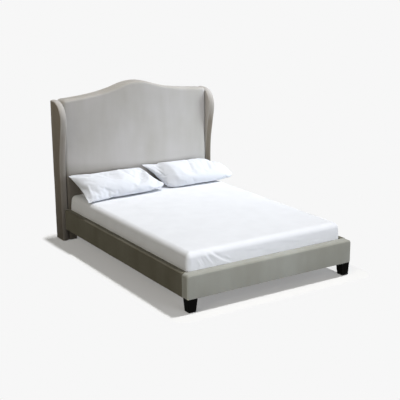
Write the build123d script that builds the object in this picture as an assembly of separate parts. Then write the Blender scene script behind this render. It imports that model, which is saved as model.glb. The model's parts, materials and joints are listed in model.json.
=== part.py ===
from build123d import *
import os
from math import radians, tan

# Upholstered double bed with a winged headboard, its slatted base, a mattress in its fitted
# sheet and two pillows. Millimetres, +Z up. X runs across the bed, +Y from the foot to the head.
# The origin is on the floor, under the middle of the whole bed.

# Mattress, and the room left round it
mattress_width = 1350
mattress_length = 1900
mattress_thickness = 200
mattress_corner_radius = 55
mattress_edge_radius = 28
mattress_side_gap = 5
mattress_foot_gap = 5
mattress_head_gap = 5
mattress_sink = 71

# Cloth and foam
fabric_thickness = 1.2
sheet_thickness = 0.8
pillowcase_thickness = 0.8
pillowcase_ease = 0.7
soft_gap = 0.3
modelling_tolerance = 0.01

# Upholstered rails
floor_clearance = 101
rail_height = 175
rail_edge_radius = 12
rail_foam_thickness = 9
rail_top_foam_thickness = 8
side_rail_thickness = 45
foot_rail_thickness = 72
foot_rail_corner_radius = 24
foot_rail_lower_corner_radius = 14
foot_rail_back_radius = 4
rail_core_end_gap = 1

# Headboard and wings
headboard_depth = 131
headboard_crest_height = 1315
headboard_shoulder_height = 1206
headboard_edge_radius = 22
headboard_corner_radius = 26
headboard_foam_thickness = 30
headboard_top_foam_thickness = 7
headboard_foam_bottom_height = 290
panel_board_thickness = 12
back_cloth_thickness = 1
back_cloth_inset = 14
back_hem_width = 35
top_rail_height = 60
post_width = 70
wing_thickness = 56
wing_overhang = 31
wing_height = 1200
wing_nose_radius = 150
wing_flare_angle = 12.5
wing_lower_bend = 272
wing_straight = 128
wing_upper_bend = 70
wing_band_radius = 11
wing_foam_thickness = 9
wing_gap = 3

# Feet
glide_height = 4
glide_radius = 12
foot_leg_top_width = 78
foot_leg_top_depth = 68
foot_leg_bottom_width = 57
foot_leg_bottom_depth = 60
foot_leg_top_side_inset = 8
foot_leg_bottom_side_inset = 16
foot_leg_top_front_inset = 3
foot_leg_bottom_front_inset = 5
hanger_bolt_radius = 4
hanger_bolt_grip = 30

# Brackets and bolts
bracket_leg_length = 58
bracket_height = 40
bracket_plate_thickness = 3
bracket_drop = 6
bracket_bolt_radius = 3
bracket_bolt_head_radius = 5.5
bracket_bolt_head_height = 3.5
bracket_bolt_depth = 24
bracket_bolt_near = 18
bracket_bolt_pitch = 26
wing_bolt_radius = 4
wing_bolt_head_radius = 9
wing_bolt_head_height = 3
wing_bolt_bite = 22
bolt_clearance = 0.3
thread_clearance = 0.05

# Slatted base
slat_count = 14
slat_width = 68
slat_thickness = 18
slat_end_gap = 3
slat_row_end_gap = 12
ledger_width = 25
ledger_height = 30
ledger_end_gap = 2
screw_radius = 2
screw_length = 38
screw_head_radius = 4
screw_head_height = 2.5
centre_beam_width = 40
centre_beam_height = 60
centre_beam_end_gap = 6
centre_beam_side_gap = 0.3
hanger_plate_thickness = 2
hanger_reach = 36
hanger_screw_spacing = 22
centre_leg_width = 44
centre_leg_spacing = 900
levelling_pad_radius = 16
levelling_pad_height = 7
levelling_stud_radius = 4
levelling_stud_length = 32
levelling_stud_room = 4

# Pillows
pillow_depth = 370
pillow_lean_height = 160
pillow_crown = 72
pillow_belly = 58
pillow_tip_thickness = 14
pillow_headboard_gap = 2

# Shares of the panel's half width and of the crest's rise above the shoulders
crest_x_shares = (0.215, 0.574, 1)
crest_z_shares = (0.773, 0.229, 0)

# Shares of the height that wing and headboard have in common, up to each bolt that joins them
wing_bolt_height_shares = (0.13, 0.5, 0.84)

# Each station along a pillow: its share of the length, then the shares of the pillow's fullness,
# the front seam's place forward of the headboard, the front seam's height and the rear seam's height
left_pillow_shares = (
    (0, 0, 0.98, 0, 1),
    (0.12, 0.68, 0.955, 0, 1),
    (0.32, 1, 0.91, 0, 0.98),
    (0.55, 1, 0.905, 0, 0.98),
    (0.76, 0.94, 0.92, 0, 0.97),
    (0.92, 0.62, 0.86, 0.08, 0.96),
    (1, 0, 0.64, 0.24, 0.95),
)
right_pillow_shares = (
    (0, 0, 0.76, 0, 1),
    (0.1, 0.6, 0.87, 0, 1),
    (0.28, 0.94, 0.9, 0, 1),
    (0.5, 1, 0.89, 0, 0.99),
    (0.72, 1, 0.93, 0, 0.98),
    (0.9, 0.78, 1, 0.16, 0.94),
    (1, 0.18, 0.94, 0.34, 0.88),
)

# Where the two ends of each pillow's front and rear seams lie, as shares of half the mattress
left_pillow_front_shares = (-0.985, 0.155)
left_pillow_rear_shares = (-1.015, -0.02)
right_pillow_front_shares = (0.19, 1.105)
right_pillow_rear_shares = (0.045, 1.01)

# Places across the bed
rail_inner_x = mattress_width / 2 + mattress_side_gap
rail_outer_x = rail_inner_x + side_rail_thickness
wing_outer_x = rail_outer_x + wing_overhang
wing_inner_x = wing_outer_x - wing_thickness
panel_half_width = wing_inner_x - wing_gap
skin = fabric_thickness + soft_gap
post_outer_x = panel_half_width - skin
post_inner_x = post_outer_x - post_width

# Places along the bed
bed_length = (foot_rail_thickness + mattress_foot_gap + mattress_length
              + mattress_head_gap + headboard_depth)
foot_y = -bed_length / 2
rear_y = bed_length / 2
foot_inner_y = foot_y + foot_rail_thickness
mattress_foot_y = foot_inner_y + mattress_foot_gap
mattress_head_y = mattress_foot_y + mattress_length
head_y = rear_y - headboard_depth
board_y = head_y + skin + headboard_foam_thickness
frame_y = board_y + panel_board_thickness
cover_rear_y = rear_y - back_cloth_thickness - soft_gap
frame_rear_y = cover_rear_y - skin

# Centres of the right foot leg, at its top and at its foot
leg_top_x = rail_outer_x - foot_leg_top_side_inset - foot_leg_top_width / 2
leg_top_y = foot_y + foot_leg_top_front_inset + foot_leg_top_depth / 2
leg_foot_x = rail_outer_x - foot_leg_bottom_side_inset - foot_leg_bottom_width / 2
leg_foot_y = foot_y + foot_leg_bottom_front_inset + foot_leg_bottom_depth / 2

# Heights
rail_top = floor_clearance + rail_height
slat_top = rail_top - mattress_sink
slat_bottom = slat_top - slat_thickness
beam_bottom = slat_bottom - centre_beam_height
sheet_top = slat_top + mattress_thickness


def block(x0, x1, y0, y1, z0, z1):
    centre = Pos((x0 + x1) / 2, (y0 + y1) / 2, (z0 + z1) / 2)
    return centre * Box(x1 - x0, y1 - y0, z1 - z0)


def rod(start, end, radius):
    axis = Vector(*end) - Vector(*start)
    return Solid.make_cylinder(radius, axis.length, Plane(origin=start, z_dir=axis))


def other_side(shape):
    return mirror(shape, about=Plane.YZ)


def save(name, *pieces):
    solids = [solid for piece in pieces for solid in piece.solids()]
    shape = solids[0] if len(solids) == 1 else Compound(children=solids)
    export_step(shape, f"parts/{name}.step")


def is_at(value, place):
    return abs(value - place) < modelling_tolerance


def side_rail():
    """Right rail: timber core, foam on its outside and top, and the fabric sleeve round both."""
    def bar(inset, end_gap):
        body = block(rail_inner_x + inset, rail_outer_x - inset, foot_inner_y + end_gap,
                     head_y - end_gap, floor_clearance + inset, rail_top - inset)
        return fillet(body.edges().filter_by(Axis.Y), rail_edge_radius - inset)

    filling = bar(skin, rail_core_end_gap)
    core_room = block(rail_inner_x, rail_outer_x - skin - rail_foam_thickness, foot_inner_y, head_y,
                      floor_clearance, rail_top - skin - rail_top_foam_thickness)
    return filling & core_room, filling - core_room, bar(0, 0) - bar(fabric_thickness, 0)


def foot_rail():
    """Foot rail: timber core, foam round its front, top and ends, and a closed fabric cover."""
    def bar(inset):
        low = floor_clearance + inset
        body = block(-rail_outer_x + inset, rail_outer_x - inset,
                     foot_y + inset, foot_inner_y - inset, low, rail_top - inset)
        corners = body.edges().filter_by(Axis.Y).group_by(Axis.Z)[-1]
        body = fillet(corners, foot_rail_corner_radius - inset)
        for place, radius in ((foot_y + inset, rail_edge_radius),
                              (foot_inner_y - inset, foot_rail_back_radius)):
            rim = [edge for edge in body.edges()
                   if is_at(edge.center().Y, place) and not is_at(edge.center().Z, low)]
            body = fillet(rim, radius - inset)
        ends = block(-rail_outer_x + inset, rail_outer_x - inset, foot_y, foot_inner_y, low, rail_top)
        lower_corners = ends.edges().filter_by(Axis.Y).group_by(Axis.Z)[0]
        return body & fillet(lower_corners, foot_rail_lower_corner_radius - inset)

    filling = bar(skin)
    core_half_width = rail_outer_x - skin - rail_foam_thickness
    core_room = block(-core_half_width, core_half_width, foot_y + skin + rail_foam_thickness,
                      foot_inner_y, floor_clearance, rail_top - skin - rail_top_foam_thickness)
    return filling & core_room, filling - core_room, bar(0) - bar(fabric_thickness)


def panel_face(half_width, drop, bottom):
    """Front view of the headboard, narrowed and lowered: tangent arcs from crest to shoulder."""
    shoulder = headboard_shoulder_height - drop
    rise = headboard_crest_height - headboard_shoulder_height
    start = (0, shoulder + rise)
    heading = (1, 0)
    right = []
    for x_share, z_share in zip(crest_x_shares, crest_z_shares):
        end = (half_width * x_share, shoulder + rise * z_share)
        arc = TangentArc(start, end, tangent=heading).edge()
        right.append(arc)
        start = end
        heading = arc % 1
    left = [mirror(arc, about=Plane.YZ).edge() for arc in right]
    sides = Polyline((half_width, shoulder), (half_width, bottom),
                     (-half_width, bottom), (-half_width, shoulder))
    return Plane.XZ * Face(Wire(right + left + list(sides.edges())))


def panel_body(half_width, drop, front, rear, bottom, corner_radius):
    face = Pos(0, front, 0) * panel_face(half_width, drop, bottom)
    body = extrude(face, amount=rear - front, dir=(0, 1, 0))
    if corner_radius:
        shoulder = headboard_shoulder_height - drop
        corners = [edge for edge in body.edges().filter_by(Axis.Y)
                   if is_at(edge.center().Z, shoulder)]
        body = fillet(corners, corner_radius)
    return body


def padded_panel(inset, rear, bottom):
    """Panel with its front edges rolled over, shrunk by the inset."""
    front = head_y + inset
    body = panel_body(panel_half_width - inset, inset, front, rear, bottom,
                      headboard_corner_radius - inset)
    rim = [edge for edge in body.edges()
           if is_at(edge.center().Y, front) and not is_at(edge.center().Z, bottom)]
    return fillet(rim, headboard_edge_radius - inset)


def leg_body(inset, inner_x, rear, bottom, top):
    """Right foot of the headboard, its outer front edge rolled like the panel's."""
    outer_x = panel_half_width - inset
    front = head_y + inset
    body = block(inner_x, outer_x, front, rear, bottom, top)
    rolled = [edge for edge in body.edges().filter_by(Axis.Z)
              if is_at(edge.center().X, outer_x) and is_at(edge.center().Y, front)]
    return fillet(rolled, headboard_edge_radius - inset)


def headboard():
    """All the pieces of the headboard between the wings, by name."""
    board_half_width = panel_half_width - skin
    board_drop = skin + headboard_top_foam_thickness
    board_corner = headboard_corner_radius - board_drop
    foam_bottom = headboard_foam_bottom_height

    board = panel_body(board_half_width, board_drop, board_y, frame_y, foam_bottom, board_corner)
    frame = panel_body(board_half_width, board_drop, frame_y, frame_rear_y, foam_bottom,
                       board_corner)
    below_top_rail = panel_body(panel_half_width, board_drop + top_rail_height,
                                frame_y, frame_rear_y, foam_bottom, 0)
    behind_foam = panel_body(panel_half_width, board_drop, board_y, rear_y, 0, 0)

    upper_post = block(post_inner_x, post_outer_x, frame_y, frame_rear_y,
                       foam_bottom, headboard_crest_height)
    lower_post = leg_body(skin, post_inner_x, frame_rear_y, glide_height, foam_bottom)
    bottom_rail = block(-post_inner_x, post_inner_x, head_y + skin, frame_y,
                        floor_clearance, foam_bottom)

    sleeve_inner_x = post_inner_x - soft_gap
    sleeve = leg_body(0, sleeve_inner_x - fabric_thickness, cover_rear_y,
                      glide_height, floor_clearance)
    sleeve_room = leg_body(fabric_thickness, sleeve_inner_x, cover_rear_y - fabric_thickness,
                           0, floor_clearance)
    cover = padded_panel(0, cover_rear_y, floor_clearance) + sleeve + other_side(sleeve)
    room = padded_panel(fabric_thickness, cover_rear_y - fabric_thickness, floor_clearance)
    window = panel_body(panel_half_width - back_hem_width, back_hem_width,
                        frame_rear_y, rear_y, floor_clearance, 0)
    return {
        "headboard_panel_board": board,
        "headboard_rail_top": frame - below_top_rail,
        "headboard_rail_bottom": bottom_rail,
        "headboard_post_right": lower_post + (upper_post & below_top_rail),
        "headboard_foam": padded_panel(skin, frame_rear_y, foam_bottom + soft_gap) - behind_foam,
        "headboard_cover": cover - room - sleeve_room - other_side(sleeve_room) - window,
        "headboard_back_cloth": panel_body(panel_half_width - back_cloth_inset, back_cloth_inset,
                                           rear_y - back_cloth_thickness, rear_y,
                                           floor_clearance + back_cloth_inset, 0),
    }


def wing_body(inset, rear_inset, band_radius, bottom):
    """Right wing: it flares forward as it rises and rolls back over a round nose at the top."""
    front = head_y + inset
    rear = rear_y - rear_inset
    top = wing_height - inset
    flare = radians(wing_flare_angle)
    nose_z = wing_height - wing_nose_radius
    straight_z = nose_z - wing_upper_bend
    bend_z = straight_z - wing_straight
    bend_y = front - wing_lower_bend * tan(flare / 2)
    straight_y = bend_y - wing_straight * tan(flare)
    nose_y = straight_y - wing_upper_bend * tan(flare / 2)
    bend_start = (front, bend_z - wing_lower_bend)
    bend_end = (bend_y, bend_z)
    straight_end = (straight_y, straight_z)
    nose_start = (nose_y, nose_z)
    nose_end = (nose_y + top - nose_z, top)
    lower_bend = TangentArc(bend_start, bend_end, tangent=(0, 1))
    straight = Line(bend_end, straight_end)
    upper_bend = TangentArc(straight_end, nose_start, tangent=straight % 1)
    nose = TangentArc(nose_start, nose_end, tangent=(0, 1))
    rest = Polyline(nose_end, (rear, top), (rear, bottom), (front, bottom), bend_start)
    outline = Wire([lower_bend.edge(), straight.edge(), upper_bend.edge(), nose.edge(),
                    *rest.edges()])
    inner_x = wing_inner_x + inset
    outer_x = wing_outer_x - inset
    side_view = Pos(inner_x, 0, 0) * (Plane.YZ * Face(outline))
    body = extrude(side_view, amount=outer_x - inner_x, dir=(1, 0, 0))
    if band_radius:
        band = [edge for edge in body.edges()
                if (is_at(edge.center().X, inner_x) or is_at(edge.center().X, outer_x))
                and not is_at(edge.center().Y, rear) and not is_at(edge.center().Z, bottom)]
        body = fillet(band, band_radius)
    return body


def wing():
    """Right wing: core board, foam all round it but at the rear, and the fabric cover."""
    filling = wing_body(skin, skin, wing_band_radius - skin, glide_height)
    core = wing_body(skin + wing_foam_thickness, skin, 0, glide_height)
    outer = wing_body(0, 0, wing_band_radius, glide_height)
    room = wing_body(fabric_thickness, fabric_thickness, wing_band_radius - fabric_thickness, 0)
    return core, filling - core, outer - room


def wing_bolt(height, clearance):
    """Bolt from the inner side of the post, through the upholstery and into the wing's core."""
    core_x = wing_inner_x + skin + wing_foam_thickness
    place_y = (frame_y + frame_rear_y) / 2
    start = (post_inner_x, place_y, height)
    shank = rod(start, (core_x + wing_bolt_bite, place_y, height), wing_bolt_radius + clearance)
    head = rod((post_inner_x - wing_bolt_head_height, place_y, height), start,
               wing_bolt_head_radius + clearance)
    return head + shank


def foot_leg():
    """Right foot leg: a block that tapers to the floor."""
    foot = Pos(leg_foot_x, leg_foot_y, glide_height)
    top = Pos(leg_top_x, leg_top_y, floor_clearance)
    sections = [foot * Rectangle(foot_leg_bottom_width, foot_leg_bottom_depth).face(),
                top * Rectangle(foot_leg_top_width, foot_leg_top_depth).face()]
    return loft(sections, ruled=True)


def hanger_bolt(clearance):
    """Headless bolt that stands in the right foot leg and screws up into the foot rail."""
    low = floor_clearance - hanger_bolt_grip
    high = floor_clearance + skin + hanger_bolt_grip
    return rod((leg_top_x, leg_top_y, low), (leg_top_x, leg_top_y, high),
               hanger_bolt_radius + clearance)


def glide(place_x, place_y):
    return rod((place_x, place_y, 0), (place_x, place_y, glide_height), glide_radius)


def corner_bracket(corner_y, inward):
    """Right-hand L bracket in a corner of the frame. Inward points along Y, off the end piece."""
    top = slat_bottom - ledger_height - bracket_drop
    bottom = top - bracket_height
    thickness = inward * bracket_plate_thickness
    along_rail = block(rail_inner_x - bracket_plate_thickness, rail_inner_x,
                       *sorted((corner_y, corner_y + inward * bracket_leg_length)), bottom, top)
    across_end = block(rail_inner_x - bracket_leg_length, rail_inner_x,
                       *sorted((corner_y, corner_y + thickness)), bottom, top)
    return along_rail + across_end


def bracket_bolts(corner_y, inward, clearance):
    """The four bolts of one right-hand bracket: two into the side rail, two into the end piece."""
    height = slat_bottom - ledger_height - bracket_drop - bracket_height / 2
    bolts = []
    for step in (0, 1):
        offset = bracket_bolt_near + step * bracket_bolt_pitch
        for face, away in (
            ((rail_inner_x - bracket_plate_thickness, corner_y + inward * offset, height), (1, 0, 0)),
            ((rail_inner_x - offset, corner_y + inward * bracket_plate_thickness, height),
             (0, -inward, 0)),
        ):
            face = Vector(*face)
            away = Vector(*away)
            shank = rod(face, face + away * bracket_bolt_depth, bracket_bolt_radius + clearance)
            head = rod(face - away * bracket_bolt_head_height, face, bracket_bolt_head_radius)
            bolts.append(shank if clearance else head + shank)
    return bolts


def slat_places():
    """Middle of each slat along the bed."""
    first = foot_inner_y + slat_row_end_gap + slat_width / 2
    last = head_y - slat_row_end_gap - slat_width / 2
    pitch = (last - first) / (slat_count - 1)
    return [first + number * pitch for number in range(slat_count)]


def screw(start, away, clearance):
    """Countersunk wood screw whose head is flush with the face that it starts from."""
    start = Vector(*start)
    away = Vector(*away)
    shank = rod(start, start + away * (screw_length + clearance), screw_radius + clearance)
    head = rod(start, start + away * screw_head_height, screw_head_radius + clearance)
    return head + shank


def slat_screws(place_y, clearance):
    place_x = rail_inner_x - ledger_width / 2
    return [screw((side * place_x, place_y, slat_top), (0, 0, -1), clearance) for side in (1, -1)]


def ledger_screws(clearance):
    """Screws through the right ledger into the side rail, between every second pair of slats."""
    places = slat_places()
    face_x = rail_inner_x - ledger_width
    height = slat_bottom - ledger_height / 2
    return [screw((face_x, (places[number] + places[number + 1]) / 2, height), (1, 0, 0), clearance)
            for number in range(0, slat_count - 1, 2)]


def beam_hanger(end_y, inward):
    """Steel pocket on an end piece that the centre beam drops into."""
    half_room = centre_beam_width / 2 + centre_beam_side_gap
    half_width = half_room + hanger_plate_thickness
    back_y = end_y + inward * hanger_plate_thickness
    outer = block(-half_width, half_width, *sorted((end_y, end_y + inward * hanger_reach)),
                  beam_bottom - hanger_plate_thickness, slat_bottom - hanger_plate_thickness)
    room = block(-half_room, half_room, *sorted((back_y, end_y + inward * 2 * hanger_reach)),
                 beam_bottom, slat_bottom)
    return outer - room


def hanger_screws(end_y, inward, clearance):
    face_y = end_y + inward * hanger_plate_thickness
    height = (beam_bottom + slat_bottom) / 2
    return [screw((side * hanger_screw_spacing / 2, face_y, height), (0, -inward, 0), clearance)
            for side in (1, -1)]


def centre_leg(place_y):
    half = centre_leg_width / 2
    leg = block(-half, half, place_y - half, place_y + half, levelling_pad_height, beam_bottom)
    bore_top = levelling_pad_height + levelling_stud_length + levelling_stud_room
    bore = rod((0, place_y, 0), (0, place_y, bore_top), levelling_stud_radius + thread_clearance)
    return leg - bore


def levelling_foot(place_y):
    pad = rod((0, place_y, 0), (0, place_y, levelling_pad_height), levelling_pad_radius)
    stud = rod((0, place_y, 0), (0, place_y, levelling_pad_height + levelling_stud_length),
               levelling_stud_radius)
    return pad + stud


def mattress_body(inset, bottom):
    body = block(-mattress_width / 2 + inset, mattress_width / 2 - inset,
                 mattress_foot_y + inset, mattress_head_y - inset, bottom, sheet_top - inset)
    body = fillet(body.edges().filter_by(Axis.Z), mattress_corner_radius - inset)
    return fillet(body.edges().group_by(Axis.Z)[-1], mattress_edge_radius - inset)


def pillow_form(stations, front_ends, rear_ends, inset):
    """Pillow that leans on the headboard, as a loft of lens-shaped sections, shrunk by the inset."""
    half_mattress = mattress_width / 2
    least = pillow_tip_thickness / 2
    length = half_mattress * (front_ends[1] - front_ends[0])
    sections = []
    for along, fullness, forward, front_rise, rear_rise in stations:
        along = inset / length + along * (1 - 2 * inset / length)
        front = Vector(half_mattress * (front_ends[0] + along * (front_ends[1] - front_ends[0])),
                       head_y - pillow_depth * forward, pillow_lean_height * front_rise)
        rear = Vector(half_mattress * (rear_ends[0] + along * (rear_ends[1] - rear_ends[0])),
                      head_y - pillow_headboard_gap, pillow_lean_height * rear_rise)
        across = (rear - front).normalized()
        up = Vector(1, 0, 0).cross(across).normalized()
        front = front + across * 2 * inset
        rear = rear - across * 2 * inset
        middle = (front + rear) / 2
        crown = least + (pillow_crown - least) * fullness - inset
        belly = least + (pillow_belly - least) * fullness - inset
        top = ThreePointArc(front, middle + up * crown, rear)
        under = ThreePointArc(rear, middle - up * belly, front)
        sections.append(Face(Wire([top.edge(), under.edge()])))
    return loft(sections)


def pillow(stations, front_ends, rear_ends):
    """Pillow and its case, laid on the sheet."""
    outer = pillow_form(stations, front_ends, rear_ends, 0)
    drop = Pos(0, 0, sheet_top + soft_gap - outer.bounding_box().min.Z)
    room = pillow_form(stations, front_ends, rear_ends, pillowcase_thickness)
    filling = pillow_form(stations, front_ends, rear_ends, pillowcase_thickness + pillowcase_ease)
    return drop * filling, drop * (outer - room)


os.makedirs("parts", exist_ok=True)

right_rail_core, right_rail_foam, right_rail_cover = side_rail()
foot_rail_core, foot_rail_foam, foot_rail_cover = foot_rail()
headboard_pieces = headboard()
post_right = headboard_pieces.pop("headboard_post_right")
right_wing_core, right_wing_foam, right_wing_cover = wing()

# Wings on the headboard
common_height = min(wing_height, headboard_shoulder_height)
bolt_heights = [common_height * share for share in wing_bolt_height_shares]
wing_bolts = [wing_bolt(height, 0) for height in bolt_heights]
for height in bolt_heights:
    wide_hole = wing_bolt(height, bolt_clearance)
    post_right -= wide_hole
    right_wing_foam -= wide_hole
    right_wing_cover -= wide_hole
    headboard_pieces["headboard_cover"] -= wide_hole + other_side(wide_hole)
    right_wing_core -= wing_bolt(height, thread_clearance)

# Corner brackets and their bolts
corners = ((foot_inner_y, 1), (head_y, -1))
brackets = []
right_bracket_bolts = []
for corner_y, inward in corners:
    bracket = corner_bracket(corner_y, inward)
    right_bracket_bolts += bracket_bolts(corner_y, inward, 0)
    for wide_hole in bracket_bolts(corner_y, inward, bolt_clearance):
        bracket -= wide_hole
        right_rail_cover -= wide_hole
        foot_rail_cover -= wide_hole + other_side(wide_hole)
        headboard_pieces["headboard_cover"] -= wide_hole + other_side(wide_hole)
    for hole in bracket_bolts(corner_y, inward, thread_clearance):
        right_rail_core -= hole
        foot_rail_core -= hole + other_side(hole)
        post_right -= hole
    brackets += [bracket, other_side(bracket)]
bolts_both_sides = right_bracket_bolts + [other_side(bolt) for bolt in right_bracket_bolts]

# Foot legs, their hanger bolts and the glides
leg_right = foot_leg() - hanger_bolt(thread_clearance)
hanger_bolts = [hanger_bolt(0), other_side(hanger_bolt(0))]
foot_rail_core -= hanger_bolt(thread_clearance) + other_side(hanger_bolt(thread_clearance))
foot_rail_cover -= hanger_bolt(bolt_clearance) + other_side(hanger_bolt(bolt_clearance))
foot_glide = glide(leg_foot_x, leg_foot_y)
post_glide = glide((post_inner_x + post_outer_x) / 2, (head_y + rear_y) / 2)
wing_glide = glide((wing_inner_x + wing_outer_x) / 2, (head_y + rear_y) / 2)

# Slatted base
ledger_right = block(rail_inner_x - ledger_width, rail_inner_x, foot_inner_y + ledger_end_gap,
                     head_y - ledger_end_gap, slat_bottom - ledger_height, slat_bottom)
slat_half_length = rail_inner_x - slat_end_gap
wood_screws = []
for number, place_y in enumerate(slat_places()):
    slat = block(-slat_half_length, slat_half_length, place_y - slat_width / 2,
                 place_y + slat_width / 2, slat_bottom, slat_top)
    holes = slat_screws(place_y, thread_clearance)
    for hole in holes:
        slat -= hole
        ledger_right -= hole
    wood_screws += slat_screws(place_y, 0)
    save(f"slat_{number + 1:02d}", slat)
for hole in ledger_screws(thread_clearance):
    ledger_right -= hole
    right_rail_core -= hole
    right_rail_cover -= hole
for one in ledger_screws(0):
    wood_screws += [one, other_side(one)]

# Centre beam
hangers = []
for end_y, inward in corners:
    hanger = beam_hanger(end_y, inward)
    for hole in hanger_screws(end_y, inward, thread_clearance):
        hanger -= hole
        foot_rail_core -= hole
        foot_rail_cover -= hole
        headboard_pieces["headboard_rail_bottom"] -= hole
        headboard_pieces["headboard_cover"] -= hole
    hangers.append(hanger)
    wood_screws += hanger_screws(end_y, inward, 0)
centre_beam = block(-centre_beam_width / 2, centre_beam_width / 2,
                    foot_inner_y + centre_beam_end_gap, head_y - centre_beam_end_gap,
                    beam_bottom, slat_bottom)

for name, piece in headboard_pieces.items():
    save(name, piece)
for name, piece in {
    "headboard_post": post_right,
    "wing_core": right_wing_core,
    "wing_foam": right_wing_foam,
    "wing_cover": right_wing_cover,
    "side_rail_core": right_rail_core,
    "side_rail_foam": right_rail_foam,
    "side_rail_cover": right_rail_cover,
    "foot_leg": leg_right,
    "slat_ledger": ledger_right,
}.items():
    save(f"{name}_right", piece)
    save(f"{name}_left", other_side(piece))
save("foot_rail_core", foot_rail_core)
save("foot_rail_foam", foot_rail_foam)
save("foot_rail_cover", foot_rail_cover)
save("wing_bolts", *wing_bolts, *[other_side(bolt) for bolt in wing_bolts])
save("corner_brackets", *brackets)
save("bracket_bolts", *bolts_both_sides)
save("foot_leg_bolts", *hanger_bolts)
save("foot_leg_glides", foot_glide, other_side(foot_glide))
save("headboard_glides", post_glide, wing_glide, other_side(post_glide), other_side(wing_glide))
save("wood_screws", *wood_screws)
save("beam_hangers", *hangers)
save("centre_beam", centre_beam)
for name, place_y in (("foot", -centre_leg_spacing / 2), ("head", centre_leg_spacing / 2)):
    save(f"centre_leg_{name}", centre_leg(place_y))
    save(f"levelling_foot_{name}", levelling_foot(place_y))

# Mattress, sheet and pillows
mattress_bottom = slat_top + soft_gap
sheet_body = mattress_body(0, mattress_bottom)
save("mattress_core", mattress_body(sheet_thickness + soft_gap, mattress_bottom))
save("fitted_sheet", sheet_body - mattress_body(sheet_thickness, 0))
for name, stations, front_ends, rear_ends in (
    ("left", left_pillow_shares, left_pillow_front_shares, left_pillow_rear_shares),
    ("right", right_pillow_shares, right_pillow_front_shares, right_pillow_rear_shares),
):
    filling, case = pillow(stations, front_ends, rear_ends)
    save(f"pillow_{name}", filling)
    save(f"pillowcase_{name}", case)
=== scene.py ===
import json
import math

import bmesh
import bpy
import numpy as np
from mathutils import Matrix, Vector


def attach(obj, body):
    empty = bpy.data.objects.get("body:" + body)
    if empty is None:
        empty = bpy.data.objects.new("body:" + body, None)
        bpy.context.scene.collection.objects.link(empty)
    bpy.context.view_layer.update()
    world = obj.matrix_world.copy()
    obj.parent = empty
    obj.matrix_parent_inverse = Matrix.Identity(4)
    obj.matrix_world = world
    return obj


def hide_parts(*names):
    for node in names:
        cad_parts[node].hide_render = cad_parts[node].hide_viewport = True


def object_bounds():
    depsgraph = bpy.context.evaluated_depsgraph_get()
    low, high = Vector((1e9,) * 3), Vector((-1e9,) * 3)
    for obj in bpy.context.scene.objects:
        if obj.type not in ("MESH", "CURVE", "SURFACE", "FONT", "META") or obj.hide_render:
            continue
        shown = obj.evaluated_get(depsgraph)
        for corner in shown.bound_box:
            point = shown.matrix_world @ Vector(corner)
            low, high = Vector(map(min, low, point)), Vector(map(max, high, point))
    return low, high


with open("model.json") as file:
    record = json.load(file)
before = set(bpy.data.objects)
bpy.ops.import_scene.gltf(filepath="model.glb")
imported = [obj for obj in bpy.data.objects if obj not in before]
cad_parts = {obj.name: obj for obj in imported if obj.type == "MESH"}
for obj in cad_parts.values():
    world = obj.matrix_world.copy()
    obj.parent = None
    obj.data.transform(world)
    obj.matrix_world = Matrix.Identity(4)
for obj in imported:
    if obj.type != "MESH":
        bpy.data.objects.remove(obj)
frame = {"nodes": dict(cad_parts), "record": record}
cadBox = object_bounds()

mm = 0.001
nodes = frame["nodes"]
sides = {"left": -1, "right": 1}


def box(name):
    # Low and high corner of a CAD node
    piece = nodes[name]
    corners = np.array([piece.matrix_world @ Vector(corner) for corner in piece.bound_box])
    return corners.min(0), corners.max(0)


# Shader maths as expressions on sockets

class Sock:
    def __init__(self, tree, socket):
        self.tree = tree
        self.socket = socket

    def maths(self, operation, other=0):
        return self.tree.node("ShaderNodeMath", {"operation": operation}, {0: self, 1: other})[0]

    def __add__(self, other):
        return self.maths("ADD", other)

    def __sub__(self, other):
        return self.maths("SUBTRACT", other)

    def __mul__(self, other):
        return self.maths("MULTIPLY", other)

    def __pow__(self, other):
        return self.maths("POWER", other)


class NodeTree:
    def __init__(self, tree):
        self.tree = tree
        self.tree.nodes.clear()

    def node(self, kind, settings=None, inputs=None):
        # Makes any node: its settings first, then the values or links of its sockets
        made = self.tree.nodes.new(kind)
        for key, value in (settings or {}).items():
            setattr(made, key, value)
        for key, value in (inputs or {}).items():
            if isinstance(value, Sock):
                self.tree.links.new(value.socket, made.inputs[key])
            else:
                made.inputs[key].default_value = value
        return [Sock(self, socket) for socket in made.outputs]


class ShaderTree(NodeTree):
    def __init__(self, owner):
        # The owner is the world, or the name of a new material
        self.material = bpy.data.materials.new(owner) if isinstance(owner, str) else owner
        self.material.use_nodes = True
        super().__init__(self.material.node_tree)

    def mix(self, share, first, second):
        return self.node("ShaderNodeMix", {"data_type": "RGBA"}, {0: share, 6: first, 7: second})[2]

    def ranged(self, value, low=0, high=1, first=0, last=1, curve="LINEAR"):
        # Turns a value between low and high into one between first and last
        return self.node("ShaderNodeMapRange", {"interpolation_type": curve}, {
            "Value": value, "From Min": low, "From Max": high, "To Min": first, "To Max": last})[0]

    def place(self, stretch=(1, 1, 1)):
        where = self.node("ShaderNodeTexCoord")[3]
        return self.node("ShaderNodeMapping", {}, {"Vector": where, "Scale": stretch})[0]

    def noise(self, where, scale, detail=2, roughness=0.5):
        return self.node("ShaderNodeTexNoise", {}, {
            "Vector": where, "Scale": scale, "Detail": detail, "Roughness": roughness})[0]

    def bump(self, height, strength, distance, normal=None):
        inputs = {"Height": height, "Strength": strength, "Distance": distance}
        if normal:
            inputs["Normal"] = normal
        return self.node("ShaderNodeBump", {}, inputs)[0]

    def finish(self, **inputs):
        plain = {key.replace("_", " "): value for key, value in inputs.items()}
        shader = self.node("ShaderNodeBsdfPrincipled", {}, plain)[0]
        self.node("ShaderNodeOutputMaterial", {}, {"Surface": shader})
        return self.material


def colour(tint, factor=1):
    return (*[factor * part for part in tint], 1)


def grey(value):
    return (value, value, value, 1)


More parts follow.
